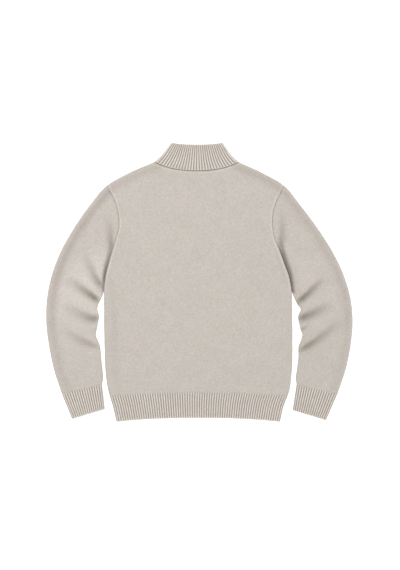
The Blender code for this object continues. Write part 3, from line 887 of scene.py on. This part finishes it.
def colour_setting(name, description, code):
    """A colour, from a hex colour."""
    return bpy.props.FloatVectorProperty(
        name=name, description=description, default=srgb(code), subtype="COLOR", size=4, min=0, max=1
    )


class CardiganSizes(bpy.types.PropertyGroup):
    knit_wall: length_setting("Knit thickness", "Thickness of the plain knitting", 0.0030)
    rib_wall: length_setting("Rib thickness", "Thickness of the rib over its crests", 0.0034)
    rib_depth: length_setting("Rib depth", "Depth of the valleys between ribs", 0.0019)
    grid_step: length_setting("Grid step", "Largest step of the plain pieces' grids", 0.0031)
    back_ribs: count_setting("Back ribs", "Ribs across the back of the hem", 72)
    front_ribs: count_setting("Front ribs", "Ribs across each front's hem", 32)
    collar_ribs: count_setting("Collar ribs", "Ribs across the back of the collar", 29)
    front_collar_ribs: count_setting("Front collar ribs", "Ribs across each front half of the collar", 13)
    cuff_ribs: count_setting("Cuff ribs", "Ribs across each side of a cuff", 17)


class CardiganColours(bpy.types.PropertyGroup):
    knit: colour_setting("Knit", "Oatmeal wool", "#D0C9C2")
    # The colour of the painted shade on the plain knit, in creases, in the crevice and beside folds and
    # seams.
    knit_shade: colour_setting("Pressed knit", "Wool where its nap is crushed in a crease", "#8A8276")
    # The rib's crests, lighter than the plain knit as a painted highlight.
    rib: colour_setting("Rib", "Crests of the ribs", "#DCD5CD")
    # Painted shade in the valleys between the ribs.
    rib_valley_shade: colour_setting("Rib valley", "Valleys between ribs", "#988E84")
    floor: colour_setting("Floor", "Studio floor", "#F8F8F8")


# --- Pieces ---


class CARDIGAN_OT_back(bpy.types.Operator):
    """Adds the back panel, the whole upper layer between the hem seam and the neckline"""

    bl_idname = "cardigan.back"
    bl_label = "Back"

    def execute(self, context):
        step = context.scene.cardigan_sizes.grid_step
        (left, along), (right, _) = (body_edge(side, step) for side in SIDES)
        neck, shoulder = COLLAR_SIDES[0], ARMHOLE[-1]
        widths = (neck.left - shoulder.left, neck.right - neck.left, shoulder.right - neck.right)
        points = panel(left, right, panel_edges(back_neck), widths, step, along)
        fold = body_fold_distance(points)
        grid = raised(points, upper_layer(fold, back_crown(points, fold)))
        says = {"rests_on": ("front_left", "front_right"), "valley": back_painted_shade(points)}
        knitted("back", grid, points, plain_knit(context), CUTS["back"], **says)
        return {"FINISHED"}


FRONT_STEP = 1.2  # a front's grid step against the setting, as it is hidden


class CARDIGAN_OT_fronts(bpy.types.Operator):
    """Adds the two front panels, the lower layer between each side fold and the front band"""

    bl_idname = "cardigan.fronts"
    bl_label = "Fronts"

    def execute(self, context):
        step, edges = context.scene.cardigan_sizes.grid_step * FRONT_STEP, panel_edges(front_neck)
        for side in SIDES:
            edge, along = body_edge(side, step)
            opening = from_centre_front(side, BAND_WIDTH + SEAM_GAP + SEAM_RIM)
            neck, shoulder = (getattr(level, side) for level in (COLLAR_SIDES[0], ARMHOLE[-1]))
            widths = abs(shoulder - neck), abs(neck - opening)
            front_edge = straight(*(np.array([opening, bound(opening)]) for bound in edges), along)
            points = panel(edge, front_edge, edges, widths, step, along)[:, :: OUTWARD[side]]
            grid = raised(points, lower_layer(body_fold_distance(points)))
            knitted(f"front_{side}", grid, points, plain_knit(context), CUTS["front"])
        return {"FINISHED"}


class CARDIGAN_OT_sleeves(bpy.types.Operator):
    """Adds the two sleeves, tubes that are creased inside the elbow and open at the armhole"""

    bl_idname = "cardigan.sleeves"
    bl_label = "Sleeves"

    def execute(self, context):
        step, knitting = context.scene.cardigan_sizes.grid_step, plain_knit(context)
        for side in SIDES:
            outer, inner, seam_line = top_fold(side)[0], curve(SLEEVE_INNER, side), curve(ARMHOLE, side)
            arm_length, cap_length = (lengths_along(line)[-1] for line in (inner, seam_line))
            arm = within(graded(arm_length, step / 2), SEAM_RIM / arm_length)
            cap = within(graded(cap_length, step), 0.0, CAP_TRIM / cap_length)[1:]
            far = at_shares(outer, np.concatenate([CAP_SHARE * arm, CAP_SHARE + (1 - CAP_SHARE) * cap]))
            inset = (SEAM_RIM + SEAM_GAP) * faded(cap * cap_length, 0.0, CAP_BLEND)
            near_cap = moved_aside(at_shares(seam_line, cap), -OUTWARD[side] * inset)
            near = np.vstack([at_shares(inner, arm), near_cap])
            width = np.linalg.norm(far - near, axis=1)[:, None]
            shares = graded(float(width.max()), step, folds=(True, True))
            points, is_upper = tube(near, far, shares)

            inward, seam = distance_to(inner, points), distance_to(seam_line, points)
            fold = np.minimum(distance_to(outer, points), inward)
            crease, tone = creased(points, side, CREASES)
            lift, _ = creased(points, side, HIDDEN_CREASES)
            grid = layered(points, is_upper, fold, sleeve_crown(points, fold, seam, inward, crease), lift)
            tone = np.where(is_upper, sleeve_painted_shade(points, side, outer, seam, inward, tone), BASE_SHADE)
            girth = np.concatenate([shares - 1, 1 - shares[-2::-1]]) * width
            length = (lengths_along(near) + lengths_along(far))[:, None] / 2
            uv = np.stack(np.broadcast_arrays(girth, length), axis=-1)
            room = np.where(is_upper, grid[..., 2] - knitting.wall - LAYER_GAP - lift, knitting.wall)
            thinned = knitting.wall * np.clip(width / NARROW, THINNED, 1)
            wall = np.minimum(thinned, np.maximum(room, THINNEST))
            grid, uv, wall, tone = (values[:, :: OUTWARD[side]] for values in (grid, uv, wall, tone))
            shape = {"wall": wall, "closed_rows": len(arm), "valley": tone}
            knitted(f"sleeve_{side}", grid, uv, knitting, CUTS["sleeve"], **shape)
        return {"FINISHED"}


def add_rib(context, name, kind, points, is_upper, fold, along, length, free_row=0, closed=False):
    """Adds a folded rib, whose rows of plan points lie at shares along a length. free_row says which row
    isn't sewn, and closed that the rib is a tube."""
    reach = (along * length)[:, None]
    from_seam = reach if free_row else length - reach
    crown = RIB_HEIGHT + bumps(fold, RIB_SWELL)
    if kind == "collar":
        crown = crown + bumps(from_seam, COLLAR_SEAM_RELIEF)
    dips = rib_dips(kind, points.shape[:2], rib_fade(kind, from_seam, length - from_seam, fold))
    turn = np.arange(points.shape[1]) / RIB_COLUMNS[kind] * RIB_WIDTH
    uv = np.stack(np.broadcast_arrays(turn[None], reach), axis=-1)
    free = np.zeros(points.shape[:2], bool)
    free[free_row] = True
    if not closed:
        free[:, 0] = free[:, -1] = True
    grid, closed_rows = layered(points, is_upper, fold, crown), len(along) if closed else 0
    knitted(name, grid, uv, rib_knit(context), CUTS[kind], closed_rows=closed_rows, free=free, **dips)


class CARDIGAN_OT_cuffs(bpy.types.Operator):
    """Adds the two cuffs, rib tubes on the ends of the sleeves"""

    bl_idname = "cardigan.cuffs"
    bl_label = "Cuffs"

    def execute(self, context):
        columns = context.scene.cardigan_sizes.cuff_ribs * RIB_COLUMNS["cuff"]
        for side in SIDES:
            ends = np.array(CUFF_ENDS[side])
            seam = side_line([SLEEVE_OUTER[0], SLEEVE_INNER[0]], side)
            seam = moved_aside(seam, OUTWARD[side] * RIB_SEAM_GAP)
            length = np.linalg.norm(seam[0] - ends[0])
            trims = rim_of(rib_knit(context)) / length, SEAM_RIM / length
            along = within(graded(length, RIB_STEP), *trims)
            left, right = (straight(end, top, along) for end, top in list(zip(ends, seam))[:: -OUTWARD[side]])
            across = even(float(np.linalg.norm(right[0] - left[0])), columns, folds=(True, True))
            points, is_upper = tube(left, right, across)
            fold = np.minimum(distance_to(left, points), distance_to(right, points))
            add_rib(context, f"cuff_{side}", "cuff", points, is_upper, fold, along, length, closed=True)
        return {"FINISHED"}


def add_open_rib(context, name, sides, back_edges, front_edges, free_row, ribs):
    """Adds a rib that runs round from one front band to the other. Each pair of edges is a lower and an
    upper one, as functions of x, and ribs are the numbers of ribs across the back and across each front."""
    rim = rim_of(rib_knit(context))
    lines = [curve(sides, side) for side in SIDES]
    length = float(lengths_along(lines[0])[-1])
    trims = (rim, SEAM_RIM) if free_row == 0 else (SEAM_RIM, rim)
    along = within(graded(length, RIB_STEP), *(trim / length for trim in trims))
    width = sides[-1].right - sides[-1].left
    across = even(width, ribs[0] * RIB_COLUMNS[name], folds=(True, True))
    parts = [strip(*lines, back_edges, across, along)]
    for side, line in zip(SIDES, lines):
        x = from_centre_front(side, BAND_WIDTH + SEAM_GAP + rim)
        opening = np.array([(x, edge(x)) for edge in front_edges])
        width = abs(getattr(sides[-1], side) - x)
        across = even(width, ribs[1] * RIB_COLUMNS[name], folds=(True, False))
        front = strip(line, opening, front_edges, across, along)
        parts = [front[:, :0:-1], *parts] if side == "left" else [*parts, front[:, 1:]]
    points = np.concatenate(parts, axis=1)
    column = np.arange(points.shape[1])
    is_upper = (column >= parts[0].shape[1]) & (column < len(column) - parts[2].shape[1])
    fold = np.minimum(*(distance_to(line, points) for line in lines))
    add_rib(context, name, name, points, is_upper, fold, along, length, free_row)


class CARDIGAN_OT_hem_rib(bpy.types.Operator):
    """Adds the rib round the lower edge, just below the hem seam"""

    bl_idname = "cardigan.hem_rib"
    bl_label = "Hem Rib"

    def execute(self, context):
        sizes = context.scene.cardigan_sizes
        low, middle, seam = HEM_SIDES
        sides = [low, middle, seam._replace(y=seam.y - RIB_SEAM_GAP)]
        edges = hem_edge, shifted(hem_seam, -RIB_SEAM_GAP)
        add_open_rib(context, "hem_rib", sides, edges, edges, 0, (sizes.back_ribs, sizes.front_ribs))
        return {"FINISHED"}


class CARDIGAN_OT_collar(bpy.types.Operator):
    """Adds the collar, just above the neckline, with its back half over its two front halves"""

    bl_idname = "cardigan.collar"
    bl_label = "Collar"

    def execute(self, context):
        sizes = context.scene.cardigan_sizes
        seam, middle, top = COLLAR_SIDES
        sides = [seam._replace(y=seam.y + RIB_SEAM_GAP), middle, top]
        back_edges = shifted(back_neck, RIB_SEAM_GAP), back_collar_top
        front_edges = shifted(front_neck, RIB_SEAM_GAP), front_collar_top
        ribs = sizes.collar_ribs, sizes.front_collar_ribs
        add_open_rib(context, "collar", sides, back_edges, front_edges, -1, ribs)
        return {"FINISHED"}


class CARDIGAN_OT_front_bands(bpy.types.Operator):
    """Adds the two flat rib bands that finish the front edges, from the hem to the top of the collar"""

    bl_idname = "cardigan.front_bands"
    bl_label = "Front Bands"

    def execute(self, context):
        knitting = rib_knit(context)
        rim = rim_of(knitting)
        edges = shifted(hem_edge, rim), shifted(front_collar_top, -rim)
        across = np.linspace(0, 1, RIB_COLUMNS["front_band"] * BAND_RIBS + 1)
        for side in SIDES:
            ends = [from_centre_front(side, x) for x in (SEAM_GAP / 2 + rim, BAND_WIDTH - rim)]
            near, far = (np.array([(x, edge(x)) for edge in edges]) for x in ends)
            along = graded(float(np.ptp(near[:, 1])), BAND_STEP)
            points = strip(near, far, edges, across, along)[:, :: -OUTWARD[side]]
            grid, dips = raised(points, 0.0), rib_dips("front_band", points.shape[:2])
            knitted(f"front_band_{side}", grid, points, knitting, CUTS["front_band"], free=True, **dips)
        return {"FINISHED"}


# --- Stage ---

FRAME_HEIGHT = 1.539  # what the camera's frame spans on the floor, from top to bottom
LENS = 85.0
SENSOR = 36.0
FAR_CLIP = 200.0
VIEW_CENTRE = (0.0016, -0.0081)
FLOOR_HALF, FLOOR_LEVEL = 30.0, -0.0004  # half its width, and just below what lies on it
FLOOR_GLOW = 0.60
ROOM_LIGHT = 0.60
WHITE = (1.0, 1.0, 1.0, 1.0)


def add_lamp(name, size, power, place):
    """Adds a round lamp, given its width in metres and its power in watts, that faces the origin."""
    light = bpy.data.lights.new(name, "AREA")
    light.shape = "DISK"
    light.size = size
    light.energy = power
    lamp = bpy.data.objects.new(name, light)
    lamp.location = place
    lamp.rotation_euler = (-lamp.location).to_track_quat("-Z", "Y").to_euler()
    bpy.context.scene.collection.objects.link(lamp)


class CARDIGAN_OT_stage(bpy.types.Operator):
    """Adds the pale floor, the soft studio light from the upper left and the camera straight above"""

    bl_idname = "cardigan.stage"
    bl_label = "Stage"

    def execute(self, context):
        scene = context.scene
        # Opal acrylic, lit from below, so that what lies on it casts no hard shadow.
        acrylic = bpy.data.materials.new("backlit opal acrylic")
        acrylic.use_nodes = True
        shader = {"Base Color": tuple(scene.cardigan_colours.floor), "Roughness": 0.9}
        shader |= {"Specular IOR Level": 0.0, "Emission Color": WHITE, "Emission Strength": FLOOR_GLOW}
        set_inputs(acrylic.node_tree, acrylic.node_tree.nodes["Principled BSDF"], shader)
        mesh = bpy.data.meshes.new("floor")
        corners = [(-1, -1), (1, -1), (1, 1), (-1, 1)]
        corners = [(x * FLOOR_HALF, y * FLOOR_HALF, FLOOR_LEVEL) for x, y in corners]
        mesh.from_pydata(corners, [], [(0, 1, 2, 3)])
        mesh.materials.append(acrylic)
        floor = bpy.data.objects.new("floor", mesh)
        scene.collection.objects.link(floor)

        scene.world = bpy.data.worlds.new("studio")
        scene.world.use_nodes = True
        tree = scene.world.node_tree
        set_inputs(tree, tree.nodes["Background"], {"Color": WHITE, "Strength": ROOM_LIGHT})
        add_lamp("key", 2.2, 54.0, (-1.1, 0.6, 2.9))
        add_lamp("fill", 1.6, 25.0, (3.0, 0.3, 1.3))

        camera = bpy.data.objects.new("camera", bpy.data.cameras.new("camera"))
        camera.data.lens = LENS
        camera.data.sensor_width = SENSOR
        camera.data.clip_end = FAR_CLIP
        camera.location = (*VIEW_CENTRE, FRAME_HEIGHT * LENS / SENSOR)
        scene.collection.objects.link(camera)
        scene.camera = camera
        scene.view_settings.view_transform = "Standard"
        return {"FINISHED"}


# --- Panel and registration ---

PIECES = (
    CARDIGAN_OT_back,
    CARDIGAN_OT_fronts,
    CARDIGAN_OT_sleeves,
    CARDIGAN_OT_cuffs,
    CARDIGAN_OT_hem_rib,
    CARDIGAN_OT_collar,
    CARDIGAN_OT_front_bands,
    CARDIGAN_OT_stage,
)


class CARDIGAN_PT_panel(bpy.types.Panel):
    """Lists the settings and the pieces"""

    bl_label = "Knit Cardigan"
    bl_idname = "CARDIGAN_PT_panel"
    bl_space_type = "VIEW_3D"
    bl_region_type = "UI"
    bl_category = "Cardigan"

    def draw(self, context):
        layout = self.layout
        for settings in (context.scene.cardigan_sizes, context.scene.cardigan_colours):
            box = layout.box()
            for name in settings.__annotations__:
                box.prop(settings, name)
        for piece in PIECES:
            layout.operator(piece.bl_idname)


CLASSES = (CardiganSizes, CardiganColours, *PIECES, CARDIGAN_PT_panel)


def register():
    for cls in CLASSES:
        bpy.utils.register_class(cls)
    bpy.types.Scene.cardigan_sizes = bpy.props.PointerProperty(type=CardiganSizes)
    bpy.types.Scene.cardigan_colours = bpy.props.PointerProperty(type=CardiganColours)


def unregister():
    del bpy.types.Scene.cardigan_colours
    del bpy.types.Scene.cardigan_sizes
    for cls in reversed(CLASSES):
        bpy.utils.unregister_class(cls)


def main():
    register()
    bpy.ops.cardigan.stage()
    bpy.ops.cardigan.back()
    bpy.ops.cardigan.fronts()
    bpy.ops.cardigan.sleeves()
    bpy.ops.cardigan.cuffs()
    bpy.ops.cardigan.hem_rib()
    bpy.ops.cardigan.collar()
    bpy.ops.cardigan.front_bands()


if __name__ == "__main__":
    main()
